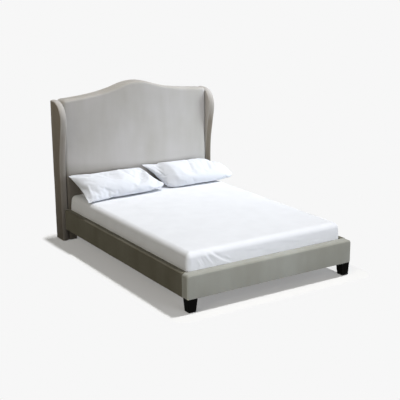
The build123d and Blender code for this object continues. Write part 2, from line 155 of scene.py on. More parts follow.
# Each look's third colour is painted shade, a darker, browner colour mixed in where a mesh marks it
velvetLooks = {
    "headboard": {"light": (0.59, 0.572, 0.562), "dark": (0.515, 0.497, 0.47), "outside": (0.21, 0.18, 0.142),
                  "sheen": 0.55},
    # painted shade: the foot rail and the side rails wear darker copies of the same velvet, with less sheen,
    # for the less light that falls on them
    "foot_rail": {"light": (0.355, 0.36, 0.33), "dark": (0.3, 0.3, 0.265), "outside": (0.3, 0.3, 0.27),
                  "sheen": 0.5},
    "side_rails": {"light": (0.142, 0.134, 0.103), "dark": (0.104, 0.096, 0.068),
                   "outside": (0.12, 0.11, 0.09), "sheen": 0.16},
}
napLook = {"brushed": 7, "stretch": (1, 1, 0.22), "patches": 3.2, "pile": 1400, "pileDepth": 0.35 * mm,
           "contrast": (0.36, 0.64), "shadeHeights": (0.1, 1.2), "shadeLevels": (0.48, 1.25)}
weaveLook = {"threads": 700, "loose": 0.6, "threadDepth": 0.15 * mm, "clouds": 9, "contrast": (0.3, 0.7),
             "crinkles": 38}
woodLook = {"rings": 14, "pores": 95, "contrast": (0.35, 0.65), "poreDepth": 0.3 * mm}


def makeVelvet(name, look, nap):
    tree = ShaderTree(name)
    brushed = tree.noise(tree.place(nap["stretch"]), nap["brushed"], 3)
    patches = tree.noise(tree.place(), nap["patches"])
    pile = tree.noise(tree.place(), nap["pile"])
    share = tree.ranged(brushed * 0.5 + patches * 0.38 + pile * 0.12, *nap["contrast"])
    # painted shade: where the cloth is marked, it takes a darker, browner colour, and this shade deepens
    # towards the floor
    high = tree.node("ShaderNodeSeparateXYZ", {}, {0: tree.place()})[2]
    wearAndShade = tree.ranged(high, *nap["shadeHeights"], *nap["shadeLevels"])
    aside = tree.node("ShaderNodeVectorMath", {"operation": "SCALE"}, {0: look["outside"], 3: wearAndShade})[0]
    outside = tree.node("ShaderNodeAttribute", {"attribute_name": "outside"})[2]
    base = tree.mix(outside, tree.mix(share, colour(look["dark"]), colour(look["light"])), aside)
    return tree.finish(Base_Color=base, Roughness=0.92, Sheen_Weight=look["sheen"], Sheen_Roughness=0.35,
                       Specular_IOR_Level=0.15, Normal=tree.bump(pile, 0.5, nap["pileDepth"]))


def makeCotton(name, tint, crinkle, weave=weaveLook):
    tree = ShaderTree(name)
    where = tree.place()
    warp, weft = [tree.node("ShaderNodeTexWave", {"wave_type": "BANDS", "bands_direction": way}, {
        "Vector": where, "Scale": weave["threads"], "Distortion": weave["loose"], "Detail Scale": 2})[1]
        for way in "XY"]
    shade = tree.ranged(tree.noise(where, weave["clouds"], 3), *weave["contrast"])
    base = tree.mix(shade, colour(tint, 0.96), colour(tint))
    creased = tree.bump(tree.noise(where, weave["crinkles"], 4, 0.55), 0.35, crinkle)
    normal = tree.bump(warp * 0.5 + weft * 0.5, 0.25, weave["threadDepth"], creased)
    return tree.finish(Base_Color=base, Roughness=0.85, Sheen_Weight=0.1, Specular_IOR_Level=0.25,
                       Normal=normal)


def makeWood(name, light, dark, grain, gloss, wood=woodLook):
    tree = ShaderTree(name)
    along = tree.place(grain)
    rings = tree.noise(along, wood["rings"], 6, 0.65)
    pores = tree.noise(along, wood["pores"], 3)
    base = tree.mix(tree.ranged(rings * 0.75 + pores * 0.25, *wood["contrast"]), colour(dark), colour(light))
    return tree.finish(Base_Color=base, Roughness=0.75 - 0.4 * gloss, Coat_Weight=0.6 * gloss,
                       Normal=tree.bump(pores, 0.3, wood["poreDepth"]))


def makeLacquer(name, tint):
    tree = ShaderTree(name)
    grain = tree.noise(tree.place((1, 1, 0.08)), 160, 4)
    base = tree.mix(grain, colour(tint), colour(tint, 1.6))
    return tree.finish(Base_Color=base, Roughness=tree.ranged(grain, first=0.5, last=0.65),
                       Specular_IOR_Level=0.02, Normal=tree.bump(grain, 0.15, 0.2 * mm))


def makeMetal(name, tint, rough, metallic):
    tree = ShaderTree(name)
    wearAndShade = tree.noise(tree.place(), 220, 3)
    base = tree.mix(wearAndShade, colour(tint, 0.85), colour(tint))
    return tree.finish(Base_Color=base, Roughness=tree.ranged(wearAndShade, first=rough - 0.08, last=rough + 0.08),
                       Metallic=metallic)


def makePlastic(name, tint):
    tree = ShaderTree(name)
    grain = tree.noise(tree.place(), 900)
    base = tree.mix(grain, colour(tint), colour(tint, 1.3))
    return tree.finish(Base_Color=base, Roughness=0.55, Normal=tree.bump(grain, 0.2, 0.1 * mm))


def makeCloth(name, tint, threads, depth):
    # Plain open weave for dust cloth, ticking and foam
    tree = ShaderTree(name)
    dimples = tree.node("ShaderNodeTexVoronoi", {"feature": "F1"}, {
        "Vector": tree.place(), "Scale": threads})[0]
    base = tree.mix(dimples, colour(tint), colour(tint, 0.8))
    return tree.finish(Base_Color=base, Roughness=0.95, Normal=tree.bump(dimples, 0.4, depth))


materials = {
    "back_cloth": makeCloth("dust_cloth", (0.035, 0.035, 0.038), 420, 0.3 * mm),
    "foam": makeCloth("cream_foam", (0.8, 0.74, 0.5), 500, 0.5 * mm),
    "pine": makeWood("planed_pine", (0.66, 0.46, 0.27), (0.5, 0.31, 0.16), (0.5, 0.5, 3), 0.1),
    "slat_timber": makeWood("slat_timber", (0.74, 0.57, 0.37), (0.58, 0.41, 0.24), (0.25, 3, 3), 0.15),
    "plywood": makeWood("plywood", (0.6, 0.44, 0.28), (0.45, 0.31, 0.18), (0.6, 0.6, 2), 0.0),
    "black_wood": makeLacquer("black_lacquer", (0.0022, 0.0022, 0.002)),
    "zinc_steel": makeMetal("zinc_plate", (0.62, 0.62, 0.6), 0.4, 1),
    "bracket_steel": makeMetal("powder_coat", (0.05, 0.05, 0.05), 0.5, 0),
    "black_plastic": makePlastic("black_plastic", (0.025, 0.025, 0.025)),
    "mattress": makeCloth("ticking", (0.78, 0.77, 0.73), 380, 0.4 * mm),
    "sheet_cotton": makeCotton("sheet_cotton", (0.775, 0.795, 0.84), 1.2 * mm),
    "pillowcase_cotton": makeCotton("pillowcase_cotton", (0.71, 0.737, 0.8), 1.0 * mm),
    "pillow_filling": makeCloth("pillow_ticking", (0.82, 0.82, 0.8), 450, 0.3 * mm),
}
velvets = {name: makeVelvet(f"velvet_{name}", look, napLook) for name, look in velvetLooks.items()}
materials["upholstery"] = velvets["headboard"]
slotOf = {part["node"]: part["material_slot"] for part in frame["record"]["subparts"]}
for nodeName, piece in nodes.items():
    piece.data.materials.clear()
    piece.data.materials.append(materials[slotOf[nodeName]])
print("materials made")


# Mesh helpers

def seededRipple(points, size, seed, count=20):
    # Smooth unevenness, about -1 to 1, whose waves are about as long as the size
    draw = np.random.default_rng(seed)
    headings = draw.normal(size=(count, 3))
    headings /= np.linalg.norm(headings, axis=1)[:, None]
    turns = 2 * math.pi / (size * draw.uniform(0.7, 1.6, count))
    phases = draw.uniform(0, 2 * math.pi, count)
    return np.sin(points @ (headings * turns[:, None]).T + phases).sum(1) / math.sqrt(2 * count)


def resample(line, shares):
    steps = np.linalg.norm(np.diff(line, axis=0), axis=1)
    at = np.concatenate([[0], np.cumsum(steps)]) / steps.sum()
    return np.stack([np.interp(shares, at, line[:, axis]) for axis in range(line.shape[1])], axis=1)


def patch(bottom, top, left, right, across, up):
    # Grid that fills four boundary lines
    low, high = resample(bottom, across), resample(top, across)
    first, last = resample(left, up), resample(right, up)
    u, v = across[None, :, None], up[:, None, None]
    grid = (1 - v) * low[None] + v * high[None] + (1 - u) * first[:, None] + u * last[:, None]
    corners = (1 - u) * (1 - v) * low[0] + u * (1 - v) * low[-1]
    corners = corners + (1 - u) * v * high[0] + u * v * high[-1]
    return grid - corners
def rectangle(low, high, across, up):
    (left, bottom), (right, top) = low, high
    corners = np.array([(left, bottom), (right, bottom), (right, top), (left, top)])
    return patch(corners[:2], corners[[3, 2]], corners[[0, 3]], corners[[1, 2]], across, up)


def mirrored(right):
    # A line from the middle outwards, with its mirror image before it
    return np.concatenate([right[::-1] * (-1, 1), right[1:]])


def overTop(side, top):
    # The line up the left side, over the top and down the right side
    return np.concatenate([side * (-1, 1), top[1:], side[::-1][1:]])

def edgeSteps(length, radius, spacing, turns=9, growth=1.3):
    # Places along a length as shares, close together where its two ends roll over
    near = list(radius * (1 - np.cos(np.linspace(0, math.pi / 2, turns + 1))))
    step = near[-1] - near[-2]
    while step < spacing and near[-1] + step < length / 2 - spacing:
        near.append(near[-1] + step)
        step *= growth
    near = np.array(near)
    count = max(3, int((length - 2 * near[-1]) / spacing) + 1)
    middle = np.linspace(near[-1], length - near[-1], count)
    return np.concatenate([near[:-1], middle, (length - near[:-1])[::-1]]) / length


def distanceTo(line, points):
    start, along = line[:-1], np.diff(line, axis=0)
    square = np.maximum((along ** 2).sum(1), 1e-12)
    found = []
    for some in np.array_split(points, len(points) // 1500 + 1):
        away = some[:, None] - start
        share = np.clip((away * along).sum(2) / square, 0, 1)
        found.append(np.linalg.norm(away - share[..., None] * along, axis=2).min(1))
    return np.concatenate(found)


def roll(distance, radius):
    # Depth of an edge that rolls over in a quarter circle
    inside = np.clip(radius - distance, 0, radius)
    return radius - np.sqrt(np.maximum(radius ** 2 - inside ** 2, 0))
def rolls(first, firstRadius, second, secondRadius):
    # Depth where one or the other edge rolls over
    return np.maximum(roll(first, firstRadius), roll(second, secondRadius))


def puffed(distance, make):
    # How far the padding swells at a distance from its edge
    return make["puff"] * (1 - np.exp(-distance / make["puffReach"]))


def ramp(values, length, most=1):
    # Rises from 0 over the length, and stops at most
    return np.clip(values / length, 0, most)


def quads(number):
    # Faces between neighbouring numbers of a grid
    return np.stack([number[:-1, :-1], number[:-1, 1:], number[1:, 1:], number[1:, :-1]], -1).reshape(-1, 4)


def bands(loops):
    # Faces between one closed loop of numbers and the next
    return [np.stack([here, there, np.roll(there, -1), np.roll(here, -1)], 1)
            for here, there in zip(loops[:-1], loops[1:])]


def numbered(rows, columns, first=0):
    return np.arange(rows * columns).reshape(rows, columns) + first


def rimOf(number):
    # The numbers round a grid, in order
    return np.concatenate([number[0, :-1], number[:-1, -1], number[-1, :0:-1], number[:0:-1, 0]])


def makeMesh(name, points, faces):
    mesh = bpy.data.meshes.new(name)
    mesh.from_pydata([tuple(point) for point in points], [], [tuple(map(int, face)) for face in faces])
    mesh.update()
    return mesh


def reshape(mesh, *jobs):
    # Runs bmesh jobs on a mesh
    shape = bmesh.new()
    shape.from_mesh(mesh)
    for job in jobs:
        job(shape)
    shape.to_mesh(mesh)
    shape.free()


def turnOutwards(shape):
    bmesh.ops.recalc_face_normals(shape, faces=shape.faces)


def weld(mesh, distance=0.01 * mm):
    reshape(mesh, lambda shape: bmesh.ops.remove_doubles(shape, verts=shape.verts, dist=distance),
            lambda shape: bmesh.ops.dissolve_degenerate(shape, edges=shape.edges, dist=distance),
            turnOutwards)
    mesh.shade_smooth()


def pointsOf(mesh, wanted="co"):
    values = np.empty(len(mesh.vertices) * 3)
    mesh.vertices.foreach_get(wanted, values)
    return values.reshape(-1, 3)


def normalsOf(mesh):
    return pointsOf(mesh, "normal")


def pushOut(mesh, amounts):
    points = pointsOf(mesh) + normalsOf(mesh) * np.asarray(amounts)[:, None]
    mesh.vertices.foreach_set("co", points.ravel())
    mesh.update()


def markPaintedShade(mesh, values):
    # How much painted shade each point shows, in the velvet's darker, browner colour
    mesh.attributes.new("outside", "FLOAT", "POINT").data.foreach_set("value", values)


def linked(name, data):
    made = bpy.data.objects.new(name, data)
    bpy.context.scene.collection.objects.link(made)
    return made


def addPiece(name, mesh, body, slot, replaced=(), material=None):
    piece = linked(name, mesh)
    mesh.materials.clear()
    mesh.materials.append(material or materials[slot])
    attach(piece, body)
    if replaced:
        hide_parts(*replaced)
    return piece


def outwardOf(ring):
    # Directions out of a closed outline that runs anticlockwise
    ahead = np.roll(ring, -1, axis=0) - np.roll(ring, 1, axis=0)
    outward = np.stack([ahead[:, 1], -ahead[:, 0]], 1)
    return outward / np.linalg.norm(outward, axis=1)[:, None]


def slab(name, grid, front, back, walls, bulge=0, place=lambda points: points):
    # Closed padded form: two faces over one grid and the band between their rims.
    # place turns (across, depth, up) into the bed's own axes.
    rows, columns = grid.shape[:2]
    flat = grid.reshape(-1, 2)
    number = numbered(rows, columns)
    rim = rimOf(number)
    ring, outward = flat[rim], outwardOf(flat[rim])
    front, back = front.ravel(), back.ravel()
    layers = [np.column_stack([flat[:, 0], depth, flat[:, 1]]) for depth in (front, back)]
    shares = np.linspace(0, 1, walls + 1)[1:-1]
    for share in shares:
        out = ring + outward * (bulge * 4 * share * (1 - share))
        depth = front[rim] * (1 - share) + back[rim] * share
        layers.append(np.column_stack([out[:, 0], depth, out[:, 1]]))
    size = rows * columns
    between = numbered(len(shares), len(rim), 2 * size)
    faces = [quads(number), quads(number[:, ::-1] + size), *bands([rim, *between, rim + size])]
    return makeMesh(name, place(np.concatenate(layers)), np.concatenate(faces))


def sideways(side):
    # Puts a slab drawn as (along, out, up) on the left or the right of the bed
    return lambda points: np.column_stack([points[:, 1] * side, points[:, 0], points[:, 2]])


def board(name, grid, edge, below, low, high, make):
    # Padded board across the bed: its edges roll over far in front, and little behind
    distance = distanceTo(edge, grid.reshape(-1, 2))
    puff = puffed(np.minimum(distance, below) if make["puffBelow"] else distance, make)
    front = low[1] - puff + rolls(distance, make["roll"], below, make["under"])
    back = high[1] - rolls(distance, make["rearRoll"], below, make["rearRoll"])
    mesh = slab(name, grid, front, back, make["depthSteps"])
    weld(mesh)
    return mesh


def settle(mesh, seed, sizes=((0.24, 0.7 * mm), (0.08, 0.3 * mm)), flatBehind=9):
    # Soft unevenness of cloth pulled over foam, but none on a back that lies at flatBehind
    points = pointsOf(mesh)
    uneven = sum(height * seededRipple(points, size, seed + number)
                 for number, (size, height) in enumerate(sizes))
    pushOut(mesh, uneven * ramp(flatBehind - points[:, 1], 10 * mm))


def turned(way, angle):
    # A flat direction, turned anticlockwise
    return np.array([way[0] * math.cos(angle) - way[1] * math.sin(angle),
                     way[0] * math.sin(angle) + way[1] * math.cos(angle)])


def arcFrom(start, heading, end, count=40):
    # Points of the arc that leaves start along the heading and reaches end, and its last heading
    start, end, heading = np.array(start, float), np.array(end, float), np.array(heading, float)
    chord = end - start
    side = np.array([-heading[1], heading[0]])
    offset = chord @ side
    if abs(offset) < 1e-9:
        return np.linspace(start, end, count), heading
    centre = start + side * (chord @ chord) / (2 * offset)
    turn = 2 * math.atan2(offset, chord @ heading)
    points = [centre + turned(start - centre, angle) for angle in np.linspace(0, turn, count)]
    return np.array(points), turned(heading, turn)


def cornerArc(centre, radius, first, last, count=12):
    angles = np.radians(np.linspace(first, last, count))
    return np.array(centre) + radius * np.column_stack([np.cos(angles), np.sin(angles)])


# Camera, at the photograph's place

cameraLook = {
    "at": (-3.62315, -5.81999, 2.30344), "azimuth": -32.248, "elevation": 15.055, "roll": -0.4456,
    "lens": 79.65, "clipEnd": 400,
}


def makeCamera(look):
    data = bpy.data.cameras.new("camera")
    data.lens, data.clip_end = look["lens"], look["clipEnd"]
    camera = linked("camera", data)
    place = Matrix.Translation(look["at"])
    for degrees, axis in ((look["azimuth"], "Z"), (90 - look["elevation"], "X"), (look["roll"], "Z")):
        place = place @ Matrix.Rotation(math.radians(degrees), 4, axis)
    camera.matrix_world = place
    bpy.context.scene.camera = camera


makeCamera(cameraLook)


# Headboard between the wings

headboardMake = {
    "crestAcross": (0.215, 0.574, 1), "crestUp": (0.773, 0.229, 0),  # shares of half width and rise
    "shoulder": 1.206, "corner": 26 * mm, "roll": 22 * mm, "under": 6 * mm, "rearRoll": 4 * mm,
    "puff": 4 * mm, "puffReach": 70 * mm, "puffBelow": False, "spacing": 14 * mm, "depthSteps": 12,
    # painted shade in a darker, browner colour: low down, on the left, and on the crest's rolled edge
    "lowShade": 0.85, "lowTop": 0.62, "lowSlope": 0.12, "lowFade": 0.2,
    "leftShade": 0.1, "leftFrom": 0.2, "leftFade": 0.7,
    "crestShade": 0.25, "crestTurn": (1.6, 0.2), "crestReach": (0.75, 0.35),
}
sleeveMake = {"ease": 1.5 * mm, "innerRoll": 5 * mm, "spacing": 8 * mm, "turns": 6, "rows": 9,
              "depthSteps": 8}


def panelGrid(half, bottom, crest, inset, make):
    # Grid between the panel's outlines, and the outline that its edge rolls over
    shoulder, corner = make["shoulder"] - inset, make["corner"] - inset
    start, heading = (0.0, crest), (1.0, 0.0)
    lines = []
    for across, up in zip(make["crestAcross"], make["crestUp"]):
        end = (half * across, shoulder + (crest - shoulder) * up)
        line, heading = arcFrom(start, heading, end)
        lines.append(line)
        start = end
    edge = np.concatenate(lines)
    arc = cornerArc((half - corner, shoulder - corner), corner, 90, 0, 24)
    middle = len(arc) // 2
    top = mirrored(np.concatenate([edge[edge[:, 0] < half - corner], arc[:middle + 1]]))
    side = np.concatenate([[(half, bottom)], arc[middle:][::-1]])
    base = np.array([(-half, bottom), (half, bottom)])
    across = edgeSteps(2 * half, make["roll"], make["spacing"])
    up = edgeSteps(crest - bottom, make["roll"], make["spacing"])
    return patch(base, top, side * (-1, 1), side, across, up), overTop(side, top)


def makeHeadboard(make, sleeve):
    low, high = box("headboard_cover")
    bottom = box("headboard_rail_bottom")[0][2]
    grid, edge = panelGrid(high[0], bottom, high[2], 0, make)
    below = grid[..., 1].ravel() - bottom
    panel = board("headboard_panel_upholstery", grid, edge, below, low, high, make)
    settle(panel, 3, flatBehind=high[1] - make["rearRoll"])
    sleeves = [makeSleeve(side, low, high, bottom, {**make, **sleeve}) for side in sides.values()]
    whole = joined("headboard_upholstery", [panel, *sleeves])
    shadeHeadboard(whole, make)
    return whole


def makeSleeve(side, low, high, top, make):
    # Cloth round one of the headboard's two feet
    post = box("headboard_post_right")[0]
    inner, outer = post[0] - make["ease"], high[0]
    across = edgeSteps(outer - inner, make["spacing"], make["spacing"], make["turns"])
    grid = rectangle((inner, post[2]), (outer, top), across, np.linspace(0, 1, make["rows"]))
    place = grid[..., 0].ravel()
    front = low[1] + rolls(outer - place, make["roll"], place - inner, make["innerRoll"])
    back = high[1] - roll(np.minimum(outer - place, place - inner), make["rearRoll"])
    mesh = slab("sleeve", grid, front, back, make["depthSteps"], 0, lambda points: points * (side, 1, 1))
    weld(mesh)
    return mesh


def shadeHeadboard(mesh, make):
    # Painted shade in a darker, browner colour: low down, where the pillows and mattress shade the cloth, a
    # little on the left, away from the lamps, and on the crest's rolled edge, where it dims the highlight
    x, z = pointsOf(mesh)[:, [0, 2]].T
    low = ramp(make["lowTop"] - make["lowSlope"] * x - z, make["lowFade"], make["lowShade"])
    left = make["leftShade"] * ramp(make["leftFrom"] - x, make["leftFade"])
    gain, threshold = make["crestTurn"]
    end, least = make["crestReach"]
    upwards = ramp(normalsOf(mesh)[:, 2] * gain - threshold, 1) * np.clip(end - x, least, 1)
    markPaintedShade(mesh, np.maximum(np.maximum(low, left), make["crestShade"] * upwards))


def joined(name, meshes):
    shape = bmesh.new()
    for mesh in meshes:
        shape.from_mesh(mesh)
        bpy.data.meshes.remove(mesh)
    whole = bpy.data.meshes.new(name)
    shape.to_mesh(whole)
    shape.free()
    whole.shade_smooth()
    return whole


addPiece("headboard_upholstery", makeHeadboard(headboardMake, sleeveMake), "bed_frame", "upholstery",
         ["headboard_cover"])
print("headboard made")


# Wings

wingMake = {
    "height": 1.2, "nose": 150 * mm, "flare": 12.5, "lowerBend": 272 * mm, "straight": 128 * mm,
    "upperBend": 70 * mm, "roll": 11 * mm, "rearRoll": 4 * mm, "turns": 14, "depthSteps": 16,
    "puff": 3 * mm, "puffReach": 20 * mm, "innerPuff": 0.4, "bandCrown": 3 * mm, "spacing": 13 * mm,
    "seamDepth": 0.7 * mm, "seamWidth": 2.2 * mm, "seamAngle": 38,
    # painted shade in a darker, browner colour: on the outer and inner faces, on the front band, and low down
    "outerTurn": (0.45, 0.4), "innerTurn": (0.6, 0.3), "innerShade": 0.45,
    "bandShade": {-1: 0.75, 1: 1}, "bandFade": 0.3, "lowShade": 0.8, "lowTop": 0.8, "lowFade": 0.35,
}


def makeWing(side, make):
    low, high = box("wing_cover_right")
    frontY, rearY, bottom = box("headboard_cover")[0][1], high[1], low[2]
    top, nose, flare = make["height"], make["nose"], math.radians(make["flare"])
    noseUp = top - nose
    straightUp = noseUp - make["upperBend"]
    bendUp = straightUp - make["straight"]
    bendY = frontY - make["lowerBend"] * math.tan(flare / 2)
    straightY = bendY - make["straight"] * math.tan(flare)
    noseY = straightY - make["upperBend"] * math.tan(flare / 2)
    lower, heading = arcFrom((frontY, bendUp - make["lowerBend"]), (0, 1), (bendY, bendUp))
    upper, heading = arcFrom((straightY, straightUp), heading, (noseY, noseUp))
    rounded = cornerArc((noseY + nose, noseUp), nose, 180, 90, 41)
    middle = len(rounded) // 2
    front = np.concatenate([[(frontY, bottom)], lower, upper, rounded[1:middle + 1]])
    over = np.concatenate([rounded[middle:], [(rearY, top)]])
    base = np.array([(frontY, bottom), (rearY, bottom)])
    rear = np.array([(rearY, bottom), (rearY, top)])
    across = edgeSteps(rearY - frontY, make["roll"], make["spacing"], make["turns"])
    up = edgeSteps(top - bottom, make["roll"], make["spacing"], make["turns"])
    grid = patch(base, over, front, rear, across, up)
    flat = grid.reshape(-1, 2)
    band = distanceTo(np.concatenate([front, over[1:]]), flat)
    plain = np.minimum(rearY - flat[:, 0], flat[:, 1] - bottom)
    puff = puffed(np.minimum(band, plain), make)
    depth = rolls(band, make["roll"], plain, make["rearRoll"])
    mesh = slab("wing_upholstery", grid, high[0] + puff - depth, low[0] - make["innerPuff"] * puff + depth,
                make["depthSteps"], make["bandCrown"], sideways(side))
    # the groove is pressed in along the normals, which must point outwards first
    arcLength = make["roll"] * np.arccos(np.clip(1 - band / make["roll"], -1, 1))
    seamAt = make["roll"] * math.radians(make["seamAngle"])
    groove = np.exp(-((arcLength - seamAt) / make["seamWidth"]) ** 2) * (band < make["roll"] * 0.99)
    reshape(mesh, turnOutwards)
    pushOut(mesh, -make["seamDepth"] * np.pad(groove, (0, len(mesh.vertices) - len(groove))))
    weld(mesh)
    shadeWing(mesh, side, make)
    settle(mesh, 11 + side)
    return mesh


def shadeWing(mesh, side, make):
    # Painted shade in a darker, browner colour: on both side faces and the front band, which catch less
    # light, and low down, where the pillows and mattress shade the wing
    (outerFrom, outerFade), (innerFrom, innerFade) = make["outerTurn"], make["innerTurn"]
    facing = normalsOf(mesh)[:, 0] * side
    high = pointsOf(mesh)[:, 2]
    faces = ramp(facing - outerFrom, outerFade) + make["innerShade"] * ramp(-facing - innerFrom, innerFade)
    ahead = np.clip(-normalsOf(mesh)[:, 1], 0, 1) * ramp(make["height"] - high, make["bandFade"])
    low = ramp(make["lowTop"] - high, make["lowFade"], make["lowShade"])
    markPaintedShade(mesh, np.maximum(np.maximum(faces, make["bandShade"][side] * ahead), low))


for word, side in sides.items():
    addPiece(f"wing_upholstery_{word}", makeWing(side, wingMake), "bed_frame", "upholstery",
             [f"wing_cover_{word}"])
print("wings made")


# Rails

railMake = {"roll": 13 * mm, "under": 5 * mm, "puff": 2.5 * mm, "puffReach": 35 * mm, "puffBelow": True,
            "corner": 24 * mm, "lowerCorner": 14 * mm, "rearRoll": 4 * mm, "spacing": 13 * mm,
            "ripples": ((0.3, 0.6 * mm), (0.09, 0.35 * mm)), "sideSteps": 6, "depthSteps": 10}


def makeSideRail(side, make):
    low, high = box("side_rail_cover_right")
    across = np.linspace(0, 1, int((high[1] - low[1]) / make["spacing"]))
    up = edgeSteps(high[2] - low[2], make["roll"], make["spacing"])
    grid = rectangle(low[1:], high[1:], across, up)
    level = grid[..., 1].ravel()
    above, below = high[2] - level, level - low[2]
    puff = puffed(np.minimum(above, below), make)
    outer = high[0] + puff - rolls(above, make["roll"], below, make["under"])
    inner = low[0] + rolls(above, make["rearRoll"], below, make["rearRoll"])
    mesh = slab("side_rail_upholstery", grid, outer, inner, make["sideSteps"], 0, sideways(side))
    weld(mesh)
    settle(mesh, 21 + side, make["ripples"])
    return mesh


def makeFootRail(make):
    low, high = box("foot_rail_cover")
    half, corner, lower = high[0], make["corner"], make["lowerCorner"]
    arc = cornerArc((half - corner, high[2] - corner), corner, 90, 0, 24)
    under = cornerArc((half - lower, low[2] + lower), lower, 0, -90, 16)
    middle, turn = len(arc) // 2, len(under) // 2
    top = mirrored(np.concatenate([[(0, high[2])], arc[:middle + 1]]))
    base = mirrored(np.concatenate([[(0, low[2])], under[turn:][::-1]]))
    side = np.concatenate([under[:turn + 1][::-1], arc[middle:][::-1]])
    across = edgeSteps(2 * half, make["roll"], make["spacing"])
    up = edgeSteps(high[2] - low[2], make["roll"], make["spacing"])
    grid = patch(base, top, side * (-1, 1), side, across, up)
    below = distanceTo(base, grid.reshape(-1, 2))
    mesh = board("foot_rail_upholstery", grid, overTop(side, top), below, low, high, make)
    settle(mesh, 31, make["ripples"])
    return mesh


# the rails wear the darker velvet copies, which paint their shade
for word, side in sides.items():
    addPiece(f"side_rail_upholstery_{word}", makeSideRail(side, railMake), "bed_frame", "upholstery",
             [f"side_rail_cover_{word}"], velvets["side_rails"])
addPiece("foot_rail_upholstery", makeFootRail(railMake), "bed_frame", "upholstery",
         ["foot_rail_cover"], velvets["foot_rail"])
print("rails made")


# Foot legs: tapered blocks with eased edges

legMake = {"ease": 2.5 * mm, "steps": 3}


def makeLeg(word, make):
    # The block's four lower and four upper corners are the CAD leg's own
    source = nodes[f"foot_leg_{word}"]
    low, high = box(f"foot_leg_{word}")
    corners = np.array([source.matrix_world @ point.co for point in source.data.vertices])
    levels = []
    for level in (low[2], high[2]):
        ring = corners[np.abs(corners[:, 2] - level) < 0.1 * mm]
        (west, south), (east, north) = ring[:, :2].min(0), ring[:, :2].max(0)
        levels += [(*place, level) for place in
                   ((west, south), (east, south), (east, north), (west, north))]
    around = [(k, (k + 1) % 4, (k + 1) % 4 + 4, k + 4) for k in range(4)]
    mesh = makeMesh(f"foot_leg_block_{word}", levels, [(3, 2, 1, 0), (4, 5, 6, 7), *around])
    reshape(mesh, lambda shape: bmesh.ops.bevel(
        shape, geom=shape.edges, offset=make["ease"], segments=make["steps"], profile=0.5,
        affect="EDGES", clamp_overlap=True))
    addPiece(mesh.name, mesh, "bed_frame", "black_wood", [f"foot_leg_{word}"])


for word in sides:
    makeLeg(word, legMake)
print("legs made")


# Mattress and fitted sheet

sheetMake = {
    "corner": 34 * mm, "roll": 48 * mm, "spacing": 13 * mm, "rowStretch": 1.3, "fineStep": 6 * mm,
    "sideBulge": 4 * mm, "wallSteps": 19, "underRoll": 16 * mm, "underSteps": 7, "crown": 3 * mm,
    "crownReach": 0.25, "thickness": 0.8 * mm, "ripples": ((0.5, 1.2 * mm), (0.13, 0.5 * mm)),
    "mattressInset": 5 * mm,
}
# Creases on the foot side: depth, width, then places along it as (across, up)
creaseMake = [
    (2.8 * mm, 8 * mm, (-0.538, 0.378), (-0.51, 0.335), (-0.469, 0.287)),
    (-2.6 * mm, 9 * mm, (-0.515, 0.375), (-0.485, 0.34), (-0.44, 0.283)),
    (3.6 * mm, 9 * mm, (-0.498, 0.378), (-0.418, 0.315), (-0.316, 0.272)),
    (-3 * mm, 8 * mm, (-0.47, 0.378), (-0.39, 0.325), (-0.3, 0.285)),
    (2.4 * mm, 7 * mm, (-0.36, 0.33), (-0.306, 0.287)),
    (2.2 * mm, 7 * mm, (-0.6, 0.35), (-0.575, 0.31), (-0.56, 0.27)),
    (-2 * mm, 7 * mm, (-0.57, 0.36), (-0.54, 0.31), (-0.52, 0.27)),
    (1.4 * mm, 6 * mm, (-0.19, 0.35), (-0.08, 0.33)), (-1.2 * mm, 6 * mm, (-0.16, 0.335), (-0.02, 0.32)),
    (1.2 * mm, 6 * mm, (-0.05, 0.32), (0.08, 0.305)), (-2.4 * mm, 7 * mm, (0.642, 0.395), (0.648, 0.34)),
    (1.6 * mm, 8 * mm, (0.4, 0.3), (0.47, 0.285)), (1.3 * mm, 9 * mm, (0.12, 0.36), (0.3, 0.33)),
]
gatherMake = {"wave": 19 * mm, "height": 1.6 * mm, "top": 0.265, "fade": 22 * mm, "reach": 0.17,
              "footDepth": 50 * mm, "footFade": 30 * mm}


